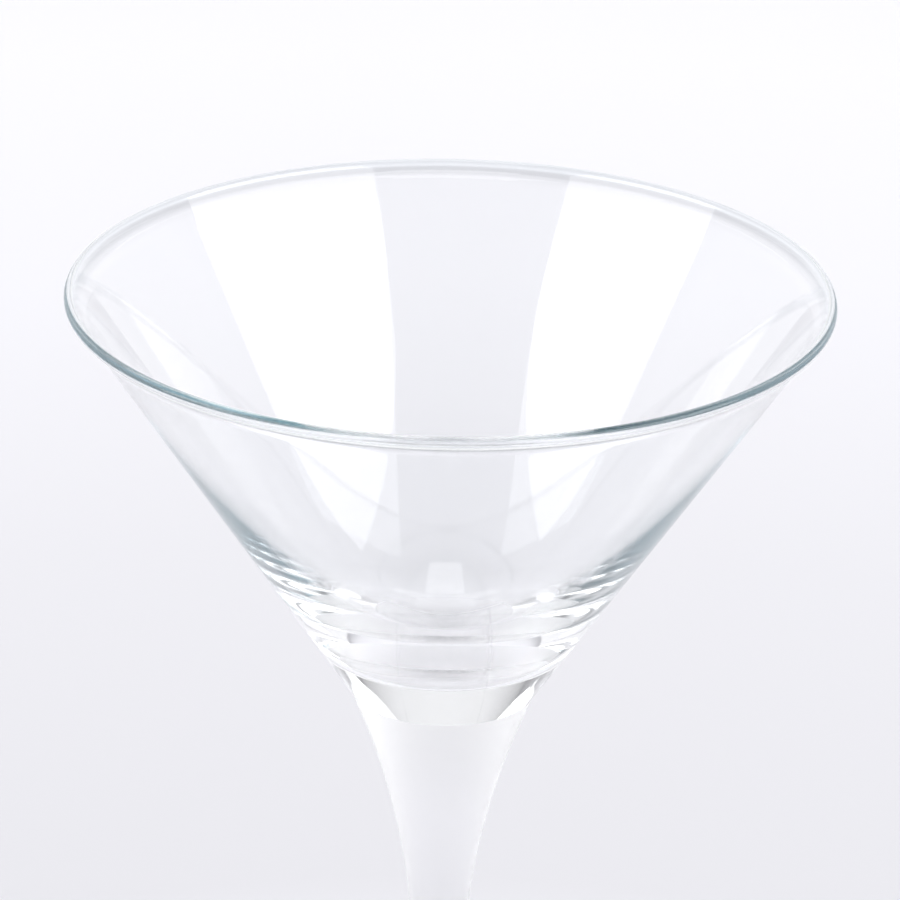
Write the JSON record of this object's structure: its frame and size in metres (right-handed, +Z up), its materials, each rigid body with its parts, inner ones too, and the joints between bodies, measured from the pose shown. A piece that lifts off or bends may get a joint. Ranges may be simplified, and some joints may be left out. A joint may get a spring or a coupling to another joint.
{
  "type": "martini glass",
  "caption": "Stemmed cocktail glass with a wide conical bowl, a solid flared satin stem and a round clear foot.",
  "frame": {"origin": "centre of the circle that the foot stands on", "axes": "+Z up the glass's own axis, from the foot to the rim; X and Y are alike, as the glass is round"},
  "size_m": [0.116, 0.116, 0.172],
  "materials": {
    "clear_glass": "clear, fire polished",
    "satin_glass": "satin frosted"
  },
  "bodies": {
    "root": {"bowl": "clear_glass", "stem": "satin_glass", "foot": "clear_glass"}
  },
  "joints": []
}
